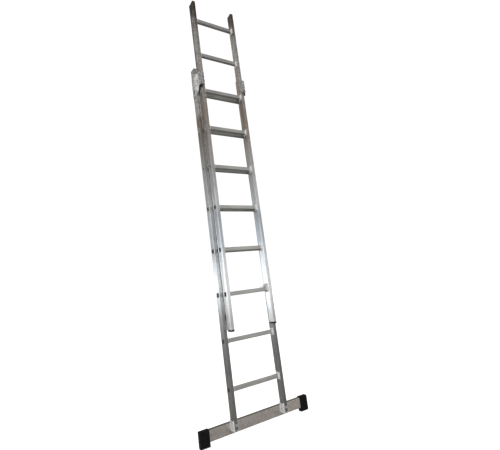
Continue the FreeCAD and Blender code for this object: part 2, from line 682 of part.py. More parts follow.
for name, shapes in (
    ("cross_bolts", cross_bolts),
    ("cross_nuts", cross_nuts),
    ("bar_bolts", bar_bolts),
    ("bar_nuts", bar_nuts),
    ("guide_rivets", guide_rivets),
    ("glide_rivets", glide_rivets),
    ("hook_rivets", hook_rivets),
):
    pairs = shapes + [mirrored(s) for s in shapes]
    nodes[name] = Part.makeCompound(pairs)

os.makedirs("parts", exist_ok=True)
for name, shape in nodes.items():
    shape.exportStep("parts/%s.step" % name)
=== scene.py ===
import math

import bmesh
import bpy
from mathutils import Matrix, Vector


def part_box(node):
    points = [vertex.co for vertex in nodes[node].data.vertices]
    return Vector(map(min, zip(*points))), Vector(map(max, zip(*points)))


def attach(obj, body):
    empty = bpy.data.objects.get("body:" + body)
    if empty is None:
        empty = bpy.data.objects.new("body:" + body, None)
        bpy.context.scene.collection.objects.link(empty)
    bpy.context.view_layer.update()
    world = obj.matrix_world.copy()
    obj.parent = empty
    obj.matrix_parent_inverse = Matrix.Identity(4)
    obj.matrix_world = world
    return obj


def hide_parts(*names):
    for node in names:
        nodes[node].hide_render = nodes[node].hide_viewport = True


# Looks of the two-section extension ladder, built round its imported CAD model. Metres throughout.

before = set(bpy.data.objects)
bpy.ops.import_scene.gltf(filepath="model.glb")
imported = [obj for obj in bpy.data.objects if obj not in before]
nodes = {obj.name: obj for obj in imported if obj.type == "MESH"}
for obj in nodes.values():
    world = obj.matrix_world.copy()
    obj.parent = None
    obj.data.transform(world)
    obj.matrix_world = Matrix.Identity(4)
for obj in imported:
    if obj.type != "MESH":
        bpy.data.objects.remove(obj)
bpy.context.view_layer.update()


# ---------------------------------------------------------------- shader building

class Tree:
    """A node tree that is filled by short calls; an input may be a number, a colour or a socket."""

    def __init__(self, owner):
        owner.use_nodes = True
        self.nodes = owner.node_tree.nodes
        self.links = owner.node_tree.links
        self.nodes.clear()

    def put(self, socket, value):
        if isinstance(value, bpy.types.NodeSocket):
            self.links.new(value, socket)
        elif socket.type == "RGBA" and len(value) == 3:
            socket.default_value = (*value, 1.0)
        else:
            socket.default_value = value

    def add(self, kind, inputs=(), **settings):
        node = self.nodes.new(kind)
        for key, value in settings.items():
            setattr(node, key, value)
        for key, value in dict(inputs).items():
            self.put(node.inputs[key], value)
        return node

    def math(self, operation, a, b=0.0, c=0.0, clamp=False):
        node = self.add("ShaderNodeMath", {0: a, 1: b, 2: c}, operation=operation, use_clamp=clamp)
        return node.outputs[0]

    def place(self, scale=(1.0, 1.0, 1.0), offset=(0.0, 0.0, 0.0)):
        coords = self.add("ShaderNodeTexCoord")
        mapping = self.add("ShaderNodeMapping", {"Vector": coords.outputs["Object"], "Location": offset,
                                                 "Scale": scale})
        return mapping.outputs[0]

    def noise(self, vector, scale, detail=3.0, rough=0.55, warp=0.0):
        node = self.add("ShaderNodeTexNoise", {"Vector": vector, "Scale": scale, "Detail": detail,
                                               "Roughness": rough, "Distortion": warp})
        return node.outputs[0]

    def cells(self, vector, scale):
        """A colour of its own for each cell of a Voronoi pattern."""
        node = self.add("ShaderNodeTexVoronoi", {"Vector": vector, "Scale": scale}, feature="F1")
        return node.outputs["Color"]

    def remap(self, value, from_lo, from_hi, to_lo, to_hi):
        node = self.add("ShaderNodeMapRange", {"Value": value, "From Min": from_lo, "From Max": from_hi,
                                               "To Min": to_lo, "To Max": to_hi})
        return node.outputs[0]

    def ramp(self, value, stops):
        node = self.add("ShaderNodeValToRGB", {0: value})
        ramp = node.color_ramp
        while len(ramp.elements) > 1:
            ramp.elements.remove(ramp.elements[-1])
        ramp.elements[0].position = stops[0][0]
        ramp.elements[0].color = (*stops[0][1], 1.0)
        for position, colour in stops[1:]:
            ramp.elements.new(position).color = (*colour, 1.0)
        return node.outputs[0]

    def mix(self, factor, a, b, blend="MIX"):
        node = self.add("ShaderNodeMix", data_type="RGBA", blend_type=blend)
        self.put(node.inputs[0], factor)
        self.put(node.inputs[6], a)
        self.put(node.inputs[7], b)
        return node.outputs[2]

    def axis(self, name):
        coords = self.add("ShaderNodeTexCoord")
        split = self.add("ShaderNodeSeparateXYZ", {0: coords.outputs["Object"]})
        return split.outputs[name]

    def bump(self, height, distance, strength=1.0, under=None):
        inputs = {"Height": height, "Distance": distance, "Strength": strength}
        if under is not None:
            inputs["Normal"] = under
        return self.add("ShaderNodeBump", inputs).outputs[0]

    def edge_mask(self, radius):
        """One along sharp edges and nought on flat faces."""
        bevel = self.add("ShaderNodeBevel", {"Radius": radius}, samples=4)
        geometry = self.add("ShaderNodeNewGeometry")
        dot = self.add("ShaderNodeVectorMath", {0: bevel.outputs[0], 1: geometry.outputs["Normal"]},
                       operation="DOT_PRODUCT")
        tilt = self.math("SUBTRACT", 1.0, dot.outputs["Value"])
        return self.remap(tilt, 0.02, 0.25, 0.0, 1.0)

    def surface(self, inputs):
        shader = self.add("ShaderNodeBsdfPrincipled", inputs)
        output = self.add("ShaderNodeOutputMaterial")
        self.links.new(shader.outputs[0], output.inputs["Surface"])


def stretched(axis, along, across):
    """Texture scale that draws a pattern out along one axis."""
    return tuple(along if axis == name else across for name in "XYZ")


def tinted(brightness, warmth=0.0):
    """Grey that leans to brown where the warmth is above nought and to blue where it is below."""
    return (brightness * (1.0 + warmth), brightness, brightness * (1.0 - warmth))


# colours of dirt and wear, and of the painted shade and painted highlight that some surfaces get
GRIME = (0.36, 0.33, 0.29)
PIT = (0.30, 0.28, 0.25)
PALE_SPOT = (0.80, 0.80, 0.79)
CHALK = (0.95, 0.95, 0.93)
RUBBED_EDGE = (0.86, 0.86, 0.84)
SCUFF = (0.88, 0.88, 0.87)
# painted shade of the gap between the sections
PAINTED_GAP_SHADE = (0.010, 0.011, 0.014)
# painted highlight on the rings round the rungs
PAINTED_COLLAR_HIGHLIGHT = (0.97, 0.97, 0.98)
# painted shade on faces that point upwards
PAINTED_TOP_SHADE = (0.07, 0.065, 0.06)
# soot stains on the zinc, and painted shade inside the rungs' open ends
SOOT_AND_OPENING_SHADE = (0.10, 0.095, 0.09)
RUST = (0.20, 0.11, 0.06)
DUST = (0.16, 0.15, 0.14)

# the height that the ramp of tone and painted reflection spans, and lengths on the stiles
BAND_RAMP_HEIGHT = 3.0
WEATHERED_FROM = 1.75
WEATHERED_TO = 2.35
CORNER_WIDTH = 0.0055
SEAM_WANDER = 0.0018
SEAM_BLUR = 0.0004
SEAM_MARGIN = 0.0004
SEAT_HALF = 0.0205
SEAT_BLUR = 0.003

RUNG_PITCH = 0.280


def collar_highlight_mask(tree, seats, mottle):
    """One on the pressed rings round the rungs, where a painted highlight goes, on the stiles' inner faces
    only.
    Seats are the lowest rung's height, the rungs' depth and the inner faces' distance from the middle."""
    lowest, depth, inner = seats
    steps = tree.math("DIVIDE", tree.math("SUBTRACT", tree.axis("Z"), lowest), RUNG_PITCH)
    off_height = tree.math("MULTIPLY", tree.math("PINGPONG", steps, 0.5), RUNG_PITCH)
    off_depth = tree.math("ABSOLUTE", tree.math("SUBTRACT", tree.axis("Y"), depth))
    off_rung = tree.math("MAXIMUM", off_height, off_depth)
    ring = tree.remap(off_rung, SEAT_HALF, SEAT_HALF + SEAT_BLUR, 1.0, 0.0)
    from_middle = tree.math("ABSOLUTE", tree.axis("X"))
    facing = tree.remap(from_middle, inner + 0.0008, inner + 0.0012, 1.0, 0.0)
    seat = tree.math("MULTIPLY", ring, facing)
    return tree.math("MULTIPLY", seat, tree.remap(mottle, 0.66, 0.50, 0.35, 1.0))


def gap_shade_mask(tree, seam):
    """One on the running lip, past a wandering line about the distance seam from the middle, where painted
    shade of the gap between the sections goes.
    """
    wander = tree.noise(tree.place((0.0, 0.0, 16.0)), 1.0, 3.0, 0.6)
    start = tree.math("MULTIPLY_ADD", wander, SEAM_WANDER, seam)
    past = tree.math("SUBTRACT", tree.math("ABSOLUTE", tree.axis("X")), start)
    return tree.remap(past, 0.0, SEAM_BLUR, 0.0, 0.96)


def drawn_aluminium(name, axis, dark, light, roughness, anisotropy, tone_and_reflection_bands=None, seats=None, seam=None,
                    painted_dark_top=False):
    """Mill-finished extrusion: die lines along the axis, dull blotches, scuffs and rubbed edges.
    The bands tint it by height, partly with its own tone and partly with painted reflection, bright and dark.
    Seats get a painted highlight, the lip past the seam gets painted shade of the gap between the sections,
    and faces that point upwards get painted shade."""
    material = bpy.data.materials.new(name)
    tree = Tree(material)
    lines = tree.noise(tree.place(stretched(axis, 1.5, 260.0)), 1.0, 4.0, 0.6)
    broad = tree.noise(tree.place(stretched(axis, 3.0, 28.0)), 1.0, 3.0, 0.6)
    blotch = tree.noise(tree.place(), 34.0, 5.0, 0.66, 0.6)
    mottle = tree.noise(tree.place((1.0, 1.0, 0.6), (5.0, 1.0, 4.0)), 80.0, 4.0, 0.7, 0.8)
    grime = tree.noise(tree.place(stretched(axis, 9.0, 30.0), (3.0, 7.0, 1.0)), 1.0, 4.0, 0.7)
    scratches = tree.place(stretched(axis, 60.0, 520.0), (0.4, 0.2, 0.9))
    scuffs = tree.remap(tree.noise(scratches, 1.0, 2.0, 0.5, 1.4), 0.62, 0.72, 0.0, 1.0)
    edges = tree.edge_mask(0.0014)
    weathered = 0.25
    if axis == "Z":
        weathered = tree.remap(tree.axis("Z"), WEATHERED_FROM, WEATHERED_TO, 0.15, 1.0)

    tone = tree.ramp(broad, ((0.25, dark), (0.75, light)))
    lined = tree.mix(tree.remap(lines, 0.35, 0.65, 0.0, 0.35), tone, dark)
    stained = tree.mix(tree.remap(grime, 0.52, 0.75, 0.0, 0.55), lined, GRIME)
    spotted = tree.mix(tree.remap(blotch, 0.58, 0.70, 0.0, 0.35), stained, PALE_SPOT)
    pits = tree.math("MULTIPLY", tree.remap(mottle, 0.52, 0.60, 0.0, 0.9), weathered)
    blooms = tree.math("MULTIPLY", tree.remap(mottle, 0.49, 0.42, 0.0, 1.0), weathered)
    colour = tree.mix(blooms, tree.mix(pits, spotted, PIT), CHALK)
    if tone_and_reflection_bands is not None:
        # the bands multiply in the stiles' own tone and painted reflection: painted highlights on the bright
        # stretches, painted shade at the dark top end
        share = tree.remap(tree.axis("Z"), 0.0, BAND_RAMP_HEIGHT, 0.0, 1.0)
        by_height = tree.ramp(share, [(z / BAND_RAMP_HEIGHT, tinted(*tone)) for z, *tone in tone_and_reflection_bands])
        colour = tree.mix(1.0, colour, by_height, "MULTIPLY")
    colour = tree.mix(tree.math("MULTIPLY", edges, 0.35), colour, RUBBED_EDGE)
    colour = tree.mix(tree.math("MULTIPLY", scuffs, 0.4), colour, SCUFF)
    if seam is not None:
        # painted shade of the gap between the sections, on the lip
        colour = tree.mix(gap_shade_mask(tree, seam), colour, PAINTED_GAP_SHADE)
    metal = 1.0
    if seats is not None:
        # painted highlight on the rings round the rungs, made less metallic there
        seat = collar_highlight_mask(tree, seats, mottle)
        colour = tree.mix(seat, colour, PAINTED_COLLAR_HIGHLIGHT)
        metal = tree.remap(seat, 0.0, 1.0, 1.0, 0.15)
    if painted_dark_top:
        # painted shade on faces that point upwards
        geometry = tree.add("ShaderNodeNewGeometry")
        upward = tree.add("ShaderNodeSeparateXYZ", {0: geometry.outputs["Normal"]}).outputs["Z"]
        colour = tree.mix(tree.remap(upward, 0.35, 0.8, 0.0, 0.92), colour, PAINTED_TOP_SHADE)

    dullness = tree.math("MULTIPLY_ADD", blotch, 0.16, roughness - 0.10)
    dullness = tree.math("MULTIPLY_ADD", grime, 0.10, dullness)
    dullness = tree.math("MULTIPLY_ADD", lines, 0.08, dullness)
    dullness = tree.math("MULTIPLY_ADD", scuffs, 0.10, dullness, clamp=True)

    rounded = tree.add("ShaderNodeBevel", {"Radius": CORNER_WIDTH}, samples=6).outputs[0]
    waves = tree.bump(broad, 0.0006, 0.35, rounded)
    fine = tree.bump(lines, 0.00008, 0.5, waves)
    normal = tree.bump(blotch, 0.0001, 0.35, fine)
    tangent = tree.add("ShaderNodeTangent", direction_type="RADIAL", axis=axis)
    tree.surface({"Base Color": colour, "Metallic": metal, "Roughness": dullness,
                  "Anisotropic": anisotropy, "Tangent": tangent.outputs[0], "Normal": normal})
    return material


# lengths on the rungs
COLLAR_WIDTH = 0.010
COLLAR_BLUR = 0.0006
TREAD_FROM = 0.03
TREAD_TO = 0.12
OPENING_DEPTH = 0.0225
OPENING_BLUR = 0.0005
# heights over which the painted shade inside the open ends fades
OPENING_SHADE_FROM = 1.25
OPENING_SHADE_TO = 1.80


def rung_aluminium(name, collar_start, end):
    """Fluted tube, brushed by feet in the middle, with a painted highlight on its pressed collars and painted
    shade in its open ends, lighter higher up.
    """
    material = bpy.data.materials.new(name)
    tree = Tree(material)
    from_middle = tree.math("ABSOLUTE", tree.axis("X"))
    lines = tree.noise(tree.place((2.0, 420.0, 420.0)), 1.0, 3.0, 0.6)
    patches = tree.noise(tree.place((14.0, 30.0, 30.0)), 1.0, 4.0, 0.65)
    speckle = tree.noise(tree.place(), 240.0, 3.0, 0.6)
    edges = tree.edge_mask(0.0010)
    collar = tree.remap(from_middle, collar_start - COLLAR_BLUR, collar_start, 0.0, 1.0)
    tread = tree.remap(from_middle, TREAD_FROM, TREAD_TO, 1.0, 0.0)
    flute = tree.add("ShaderNodeTexWave", {"Vector": tree.place((0.0, 1.0, 1.0)), "Scale": 44.0,
                                           "Distortion": 0.0}, bands_direction="DIAGONAL").outputs["Fac"]

    base = tree.ramp(patches, ((0.3, (0.62, 0.62, 0.595)), (0.7, (0.80, 0.80, 0.775))))
    die_line = (0.46, 0.45, 0.42)
    trodden = (0.74, 0.73, 0.71)
    speck = (0.33, 0.31, 0.28)
    rubbed_edge = (0.85, 0.85, 0.83)
    lined = tree.mix(tree.remap(lines, 0.35, 0.65, 0.0, 0.30), base, die_line)
    rubbed = tree.mix(tree.math("MULTIPLY", tread, 0.25), lined, trodden)
    dirty = tree.mix(tree.remap(speckle, 0.58, 0.72, 0.0, 0.4), rubbed, speck)
    worn = tree.mix(tree.math("MULTIPLY", edges, 0.5), dirty, rubbed_edge)
    # painted highlight on the collars
    painted_collar_shine = tree.ramp(speckle, ((0.3, tinted(0.80)), (0.7, tinted(0.95))))
    # painted shade inside the rungs' open ends, lighter higher up
    opening_shade_by_height = tree.remap(tree.axis("Z"), OPENING_SHADE_FROM, OPENING_SHADE_TO, 0.92, 0.40)
    inside = tree.remap(from_middle, end - OPENING_DEPTH - OPENING_BLUR, end - OPENING_DEPTH, 0.0, 1.0)
    opening_shade = tree.math("MULTIPLY", inside, opening_shade_by_height)
    coloured = tree.mix(opening_shade, tree.mix(collar, worn, painted_collar_shine), SOOT_AND_OPENING_SHADE)

    dullness = tree.math("MULTIPLY_ADD", patches, 0.18, 0.40)
    dullness = tree.math("MULTIPLY_ADD", speckle, 0.10, dullness)
    dullness = tree.math("MULTIPLY_ADD", tread, -0.05, dullness, clamp=True)
    metal = tree.remap(collar, 0.0, 1.0, 1.0, 0.25)
    ridges = tree.bump(flute, 0.0003, 0.25)
    normal = tree.bump(lines, 0.0001, 0.5, ridges)
    normal = tree.bump(speckle, 0.0001, 0.3, normal)
    tangent = tree.add("ShaderNodeTangent", direction_type="RADIAL", axis="X")
    tree.surface({"Base Color": coloured, "Metallic": metal, "Roughness": dullness,
                  "Anisotropic": 0.6, "Tangent": tangent.outputs[0], "Normal": normal})
    return material


def zinc_sheet(name, low, high, metallic, contrast):
    """Bright zinc plate: crystal patches, pale bloom, stains and fine scratches."""
    material = bpy.data.materials.new(name)
    tree = Tree(material)
    warped = tree.noise(tree.place(), 60.0, 2.0, 0.5)
    crystal = tree.cells(tree.place(), 150.0)
    grey = tree.add("ShaderNodeRGBToBW", {0: crystal}).outputs[0]
    bloom = tree.noise(tree.place((1.0, 1.0, 1.4)), 48.0, 5.0, 0.7, 0.9)
    stain = tree.noise(tree.place(offset=(2.0, 5.0, 3.0)), 70.0, 3.0, 0.6, 1.2)
    scratch = tree.noise(tree.place((1.0, 300.0, 900.0), (0.2, 0.0, 0.7)), 1.0, 2.0, 0.5, 2.0)
    edges = tree.edge_mask(0.0010)

    base = tree.ramp(grey, ((0.2, low), (0.8, high)))
    bloomed = tree.mix(tree.remap(bloom, 0.50, 0.62, 0.0, contrast), base, tinted(0.95))
    stained = tree.mix(tree.remap(stain, 0.53, 0.61, 0.0, contrast), bloomed, SOOT_AND_OPENING_SHADE)
    scratched = tree.mix(tree.remap(scratch, 0.63, 0.70, 0.0, 0.5), stained, tinted(0.90))
    worn = tree.mix(tree.math("MULTIPLY", edges, 0.8), scratched, tinted(0.97))
    dullness = tree.math("MULTIPLY_ADD", bloom, 0.30, 0.26)
    dullness = tree.math("MULTIPLY_ADD", grey, 0.10, dullness, clamp=True)
    normal = tree.bump(bloom, 0.0002, 0.4, tree.bump(warped, 0.0005, 0.3))
    tree.surface({"Base Color": worn, "Metallic": metallic, "Roughness": dullness, "Normal": normal})
    return material


def plated_steel(name, low, high, roughness):
    """Small turned or pressed steel parts: dull clouds, fine grain and specks of rust."""
    material = bpy.data.materials.new(name)
    tree = Tree(material)
    grain = tree.noise(tree.place(), 900.0, 3.0, 0.6)
    cloud = tree.noise(tree.place(), 160.0, 3.0, 0.6)
    edges = tree.edge_mask(0.0006)
    base = tree.ramp(cloud, ((0.3, low), (0.7, high)))
    rusty = tree.mix(tree.remap(grain, 0.66, 0.76, 0.0, 0.5), base, RUST)
    worn = tree.mix(tree.math("MULTIPLY", edges, 0.6), rusty, SCUFF)
    dullness = tree.math("MULTIPLY_ADD", cloud, 0.25, roughness - 0.12)
    dullness = tree.math("MULTIPLY_ADD", grain, 0.10, dullness, clamp=True)
    normal = tree.bump(grain, 0.00006, 0.5)
    tree.surface({"Base Color": worn, "Metallic": 1.0, "Roughness": dullness, "Normal": normal})
    return material


def moulded(name, low, high, roughness, grain_scale, grain_depth, dust):
    """Black moulded rubber or plastic: grained skin, scuffed edges and some dust."""
    material = bpy.data.materials.new(name)
    tree = Tree(material)
    grain = tree.noise(tree.place(), grain_scale, 4.0, 0.6)
    cloud = tree.noise(tree.place(), 45.0, 4.0, 0.6)
    edges = tree.edge_mask(0.0016)
    base = tree.ramp(cloud, ((0.3, low), (0.7, high)))
    dusty = tree.mix(tree.remap(cloud, 0.55, 0.75, 0.0, dust), base, DUST)
    worn = tree.mix(tree.math("MULTIPLY", edges, 0.45), dusty, tinted(0.11))
    dullness = tree.math("MULTIPLY_ADD", cloud, 0.22, roughness - 0.08)
    dullness = tree.math("MULTIPLY_ADD", grain, 0.08, dullness, clamp=True)
    normal = tree.bump(grain, grain_depth, 0.6, tree.bump(cloud, 0.0006, 0.2))
    tree.surface({"Base Color": worn, "Roughness": dullness, "Specular IOR Level": 0.25, "Normal": normal})
    return material


base_inner = -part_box("left_inner_plate")[0][0]
fly_inner = -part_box("left_hook_plate")[0][0]
fly_outer = -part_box("fly_left_top_cap")[0][0]
# The stiles' tone from the foot up, partly their own tone and partly painted reflection of the studio, as
# height, brightness and warmth.
BASE_TONE_AND_REFLECTION = (
    # dull foot
    (0.00, 0.51, 0.02), (0.60, 0.46, 0.01), (0.70, 0.42),
    # bright stretch, a painted highlight of the bright band at the horizon
    (0.80, 0.69, -0.01), (0.90, 0.91, -0.01), (1.02, 0.67, -0.02),
    # grey middle
    (1.10, 0.435, -0.03), (1.22, 0.48, -0.02), (1.35, 0.64), (1.65, 0.59, 0.01), (1.80, 0.47, 0.05),
    # darker brown band, pale stretch and dull end
    (1.96, 0.36, 0.14), (2.02, 0.36, 0.14), (2.08, 0.86), (2.25, 0.86), (2.36, 0.67, 0.02),
    (2.42, 0.48, 0.05),
)
FLY_TONE_AND_REFLECTION = (
    # bright lower end, a painted highlight
    (0.60, 1.00), (0.85, 1.00), (1.00, 0.87, -0.02), (1.16, 0.60, -0.04),
    # grey stretch, a darker brown band and a greyer stretch above it
    (1.34, 0.48, -0.04), (1.42, 0.71, -0.01), (1.62, 0.655), (1.82, 0.64, 0.03), (1.92, 0.56, 0.06),
    (2.02, 0.48, 0.12), (2.12, 0.47, 0.12), (2.20, 0.55, 0.06), (2.45, 0.61, 0.03), (2.66, 0.59, 0.015),
    # dark top end, painted shade of dark surroundings in reflection
    (2.77, 0.42, 0.05), (2.86, 0.20, 0.17), (2.93, 0.165, 0.17),
)
base_rung_lo, base_rung_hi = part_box("base_rung_1")
fly_rung_lo, fly_rung_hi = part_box("fly_rung_1")


def seats_round(rung_lo, rung_hi, inner):
    """What collar_highlight_mask takes, from the lowest rung's box and the stiles' inner faces."""
    return ((rung_lo[2] + rung_hi[2]) / 2.0, (rung_lo[1] + rung_hi[1]) / 2.0, inner)


BASE_STILE = drawn_aluminium("base_stile_aluminium", "Z", (0.62, 0.62, 0.61), (0.84, 0.84, 0.83), 0.26, 0.95,
                             BASE_TONE_AND_REFLECTION, seats_round(base_rung_lo, base_rung_hi, base_inner))
FLY_STILE = drawn_aluminium("fly_stile_aluminium", "Z", (0.70, 0.70, 0.69), (0.93, 0.93, 0.93), 0.24, 0.95,
                            FLY_TONE_AND_REFLECTION, seats_round(fly_rung_lo, fly_rung_hi, fly_inner),
                            fly_outer + SEAM_MARGIN)
BAR = drawn_aluminium("bar_aluminium", "X", (0.68, 0.61, 0.555), (0.85, 0.79, 0.73), 0.40, 0.6,
                      painted_dark_top=True)
BASE_RUNG = rung_aluminium("base_rung_aluminium", base_inner - COLLAR_WIDTH,
                           -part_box("base_rung_1")[0][0])
FLY_RUNG = rung_aluminium("fly_rung_aluminium", fly_inner - COLLAR_WIDTH,
                          -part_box("fly_rung_1")[0][0])
GUIDE = zinc_sheet("guide_zinc", (0.42, 0.415, 0.41), (0.80, 0.79, 0.78), 0.80, 0.90)
SIDE_PLATE = zinc_sheet("side_plate_zinc", tinted(0.80), tinted(0.93), 0.25, 0.20)
PLATE = zinc_sheet("hook_plate_zinc", (0.80, 0.80, 0.82), (0.93, 0.93, 0.95), 0.60, 0.20)
FASTENER = plated_steel("plated_fastener", tinted(0.70), (0.88, 0.88, 0.87), 0.36)
RIVET = plated_steel("satin_rivet", tinted(0.60), (0.78, 0.78, 0.77), 0.38)
HOOK = plated_steel("hook_steel", (0.78, 0.78, 0.80), (0.92, 0.92, 0.94), 0.45)
RUBBER = moulded("moulded_rubber", tinted(0.004), tinted(0.010), 0.80, 1400.0, 0.00012, 0.05)
PLASTIC = moulded("moulded_plastic", tinted(0.012), tinted(0.028), 0.52, 2200.0, 0.00006, 0.12)

for name, node in nodes.items():
    if name.endswith("_stile"):
        material = BASE_STILE if name.startswith("base") else FLY_STILE
    elif name.startswith("base_rung"):
        material = BASE_RUNG
    elif name.startswith("fly_rung"):
        material = FLY_RUNG
    elif name == "stabiliser_bar":
        material = BAR
    elif name.endswith("_top_guide"):
        material = GUIDE
    elif name.endswith(("_outer_plate", "_inner_plate")):
        material = SIDE_PLATE
    elif name.endswith("_hook_plate"):
        material = PLATE
    elif name.endswith("_rung_hook"):
        material = HOOK
    elif name.endswith("_foot_cap"):
        material = RUBBER
    elif name.endswith("rivets"):
        material = RIVET
    elif name.endswith(("_bolts", "_nuts", "_hook_pin")):
        material = FASTENER
    else:
        material = PLASTIC
    for slot in node.material_slots:
        slot.material = material


# ---------------------------------------------------------------- mesh building

def new_piece(name, mesh, material, body, slot_name, *replaced):
    """Turns a bmesh into a named piece that rides on a body and stands for CAD nodes."""
    bmesh.ops.recalc_face_normals(mesh, faces=mesh.faces)
    data = bpy.data.meshes.new(name)
    mesh.to_mesh(data)
    mesh.free()
    data.materials.append(material)
    piece = bpy.data.objects.new(name, data)
    bpy.context.scene.collection.objects.link(piece)
    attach(piece, body)
    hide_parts(*replaced)
    return piece


def loft(mesh, rings, close=(True, True), smooth=True):
    """Skins closed rings of points, one after the other."""
    rows = [[mesh.verts.new(point) for point in ring] for ring in rings]
    count = len(rows[0])
    for a, b in zip(rows[:-1], rows[1:]):
        for k in range(count):
            face = mesh.faces.new((a[k], a[(k + 1) % count], b[(k + 1) % count], b[k]))
            face.smooth = smooth
    if close[0]:
        mesh.faces.new(rows[0][::-1])
    if close[1]:
        mesh.faces.new(rows[-1])


def basis(direction):
    """Rotation whose Z axis points along the direction."""
    return Vector(direction).to_track_quat("Z", "Y").to_matrix()


def turned(mesh, origin, direction, profile, steps=32, radius_at=None):
    """Solid of revolution from (radius, height) pairs; radius_at may vary the radius with the angle."""
    turn = basis(direction)
    rings = []
    for radius, height in profile:
        ring = []
        for k in range(steps):
            angle = 2.0 * math.pi * k / steps
            r = radius_at(radius, angle, height) if radius_at else radius
            ring.append(origin + turn @ Vector((r * math.cos(angle), r * math.sin(angle), height)))
        rings.append(ring)
    loft(mesh, rings)


# a hexagon's chamfer: its rise over its width, and its flat face's radius over the width across flats
CHAMFER_SLOPE = 0.62
CHAMFER_FACE = 0.475


def hex_solid(mesh, origin, direction, across, height, chamfer_top, chamfer_bottom):
    """Hexagon head or nut whose corners are turned away at the chamfered ends."""
    reach = across / math.sqrt(3.0)
    drop = (reach - across / 2.0) * CHAMFER_SLOPE
    face_radius = across * CHAMFER_FACE

    def hexagon(limit, angle, level):
        side = (angle + math.pi / 6.0) % (math.pi / 3.0) - math.pi / 6.0
        return min(across / 2.0 / math.cos(side), limit)

    profile = []
    if chamfer_bottom:
        profile += [(face_radius, 0.0)] + [(face_radius + (reach - face_radius) * t, drop * t)
                                           for t in (0.33, 0.66, 1.0)]
    else:
        profile.append((reach, 0.0))
    if chamfer_top:
        profile += [(face_radius + (reach - face_radius) * t, height - drop * t) for t in (1.0, 0.66, 0.33)]
        profile.append((face_radius, height))
    else:
        profile.append((reach, height))
    turned(mesh, origin, direction, profile, 72, hexagon)


def threaded(mesh, origin, direction, radius, length, pitch, depth):
    """Rod whose surface follows a helical thread, with a chamfered tip at its far end."""
    per_turn = 8
    count = int(length / pitch * per_turn)
    tip_start = length - depth * 1.6

    def thread(limit, angle, level):
        phase = (level / pitch - angle / (2.0 * math.pi)) % 1.0
        tip = max(0.0, level - tip_start) * 1.1
        return limit - depth * abs(2.0 * phase - 1.0) - tip

    profile = [(radius, length * k / count) for k in range(count + 1)]
    turned(mesh, origin, direction, profile, 24, thread)


def islands(name, axis):
    """Each separate solid of a CAD node, turned about the axis: its middle, its length, its radius and
    the way its wider end faces."""
    mesh = bmesh.new()
    mesh.from_mesh(nodes[name].data)
    bmesh.ops.remove_doubles(mesh, verts=mesh.verts, dist=1e-6)
    left = set(mesh.verts)
    found = []
    while left:
        seed = min(left, key=lambda v: v.index)
        group = {seed}
        edge = [seed]
        while edge:
            for link in edge.pop().link_edges:
                for vertex in link.verts:
                    if vertex not in group:
                        group.add(vertex)
                        edge.append(vertex)
        left -= group
        points = [v.co.copy() for v in group]
        lo = Vector([min(p[k] for p in points) for k in range(3)])
        hi = Vector([max(p[k] for p in points) for k in range(3)])
        middle = (lo + hi) / 2.0
        length = hi[axis] - lo[axis]

        def spread(level):
            """How wide the solid is near one of its ends, squared."""
            near = [p - middle for p in points if abs(p[axis] - level) < length * 0.12]
            return max(p[(axis + 1) % 3] ** 2 + p[(axis + 2) % 3] ** 2 for p in near)

        outward = Vector((0.0, 0.0, 0.0))
        outward[axis] = 1.0 if spread(hi[axis]) > spread(lo[axis]) else -1.0
        radius = (hi[(axis + 1) % 3] - lo[(axis + 1) % 3]) / 2.0
        found.append((middle, length, radius, outward))
    mesh.free()
    return sorted(found, key=lambda item: tuple(item[0]))


# ---------------------------------------------------------------- bolts, nuts and rivets

HEAD_ACROSS = 0.013
HEAD_HEIGHT = 0.0053
WASHER = 0.0016
WASHER_EDGE = 0.0003
BOLT_RADIUS = 0.004
THREAD_LENGTH = 0.016
THREAD_PITCH = 0.00125
THREAD_DEPTH = 0.00055
NUT_HEIGHT = 0.0065
NUT_BEVEL = 0.0002
RIVET_SHANK = 0.0024
RIVET_HEAD = 0.0018
RIVET_RIM = 0.0003
RIVET_CROWN = 0.0017


def washer_profile(radius):
    inner = radius - WASHER_EDGE
    return [(inner, 0.0), (radius, WASHER_EDGE), (radius, WASHER - WASHER_EDGE), (inner, WASHER)]


def bolt_set(name, axis):
    """Hexagon bolts with washers; the end of each shank is threaded."""
    mesh = bmesh.new()
    for middle, length, radius, outward in islands(name, axis):
        inward = -outward
        top = middle + outward * (length / 2.0)
        seat = top + inward * (HEAD_HEIGHT + WASHER)
        hex_solid(mesh, seat + outward * WASHER, outward, HEAD_ACROSS, HEAD_HEIGHT, True, False)
        turned(mesh, seat, outward, washer_profile(radius), 48)
        plain = length - HEAD_HEIGHT - WASHER - THREAD_LENGTH
        turned(mesh, seat, inward, [(BOLT_RADIUS, 0.0), (BOLT_RADIUS, plain)], 32)
        threaded(mesh, seat + inward * plain, inward, BOLT_RADIUS, THREAD_LENGTH, THREAD_PITCH,
                 THREAD_DEPTH)
    return mesh


def nut_set(name, axis):
    """Hexagon nuts with washers, turned off at both ends, with a raised ring round the bore."""
    mesh = bmesh.new()
    for middle, length, radius, toward_seat in islands(name, axis):
        outward = -toward_seat
        seat = middle + toward_seat * (length / 2.0)
        turned(mesh, seat, outward, washer_profile(radius), 48)
        hex_solid(mesh, seat + outward * WASHER, outward, HEAD_ACROSS, NUT_HEIGHT, True, True)
        turned(mesh, seat + outward * (WASHER + NUT_HEIGHT - NUT_BEVEL), outward,
               [(BOLT_RADIUS + 0.0009, 0.0), (BOLT_RADIUS + 0.0003, NUT_BEVEL)], 32)
    return mesh


